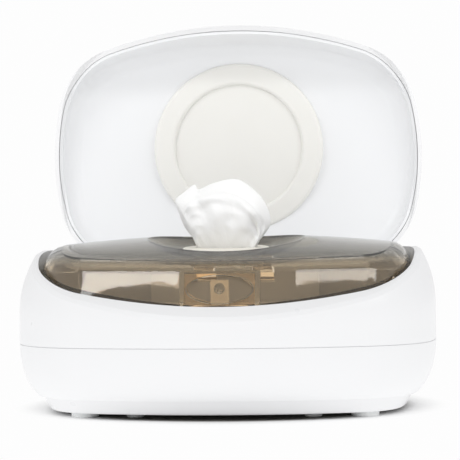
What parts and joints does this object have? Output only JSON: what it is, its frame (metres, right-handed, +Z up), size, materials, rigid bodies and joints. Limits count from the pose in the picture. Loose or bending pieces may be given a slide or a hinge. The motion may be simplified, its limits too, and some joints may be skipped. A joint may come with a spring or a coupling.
{
  "type": "baby wipe warmer",
  "caption": "Oval white countertop wipe warmer with a see-through brown inner cover, a push release, a wipe standing in its orifice and a hinged outer lid standing open",
  "frame": {"origin": "bottom centre of the bounding box of the object as it stands with its lid open, on the table", "axes": "+Z up, -Y towards the front with the release pad, +X to the right seen from the front"},
  "size_m": [0.2414, 0.2078, 0.2332],
  "materials": {
    "white_shell": "semi-gloss moulded plastic",
    "white_liner": "smooth semi-gloss moulded plastic",
    "tub_white": "satin moulded plastic",
    "smoked_plastic": "polished, see-through brown",
    "smoked_button": "polished, see-through brown",
    "cream_silicone": "soft satin",
    "clear_silicone": "soft translucent",
    "grey_silicone": "soft matte",
    "wet_wipes": "soft non-woven",
    "bare_aluminium": "rolled",
    "heater_film": "amber film",
    "felt_pad": "needled felt",
    "fuse_metal": "plated",
    "sensor_epoxy": "dipped",
    "circuit_board": "solder mask",
    "black_component": "moulded",
    "capacitor_can": "sleeved can",
    "connector_white": "moulded nylon",
    "screw_steel": "zinc plated",
    "pin_steel": "drawn",
    "spring_steel": "drawn",
    "latch_plastic": "moulded",
    "red_wire": "sleeved wire",
    "black_wire": "sleeved wire"
  },
  "bodies": {
    "housing": {"base_shell": "white_shell", "top_shell": "white_shell", "inner_tub": "tub_white", "tub_gasket": "grey_silicone", "wipe_stack": "wet_wipes", "heater_plate": "bare_aluminium", "heater_film": "heater_film", "insulation_pad": "felt_pad", "thermal_fuse": "fuse_metal", "temperature_sensor": "sensor_epoxy", "control_board": "circuit_board", "power_module": "black_component", "capacitor": "capacitor_can", "board_connector": "connector_white", "board_screws": "screw_steel", "heater_leads": "red_wire", "jack_leads": "black_wire", "dc_jack": "black_component", "housing_screws": "screw_steel", "hinge_pins": "pin_steel", "outer_feet": "clear_silicone", "inner_feet": "clear_silicone"},
    "inner_cover": {"tinted_cover": "smoked_plastic", "orifice_seal": "cream_silicone", "popped_wipe": "wet_wipes"},
    "pad": {"release_pad": "smoked_button", "latch_hook": "latch_plastic", "pad_spring": "spring_steel"},
    "outer_lid": {"lid_shell": "white_shell", "lid_liner": "white_liner", "lid_seal": "cream_silicone"}
  },
  "joints": [
    {"name": "cover_hinge", "type": "hinge", "parent": "housing", "child": "inner_cover", "pos_m": [0, 0.0555, 0.076], "axis": [1, 0, 0], "range_deg": [-40, 0]},
    {"name": "lid_hinge", "type": "hinge", "parent": "inner_cover", "child": "outer_lid", "pos_m": [0, 0.0555, 0.076], "axis": [1, 0, 0], "range_deg": [0, 98], "deforming": ["popped_wipe"]},
    {"name": "pad_press", "type": "slide", "parent": "inner_cover", "child": "pad", "axis": [0, 1, 0], "range_m": [0, 0.002], "stiffness_N_per_m": 300, "springref_m": -0.001, "deforming": ["pad_spring"]}
  ]
}
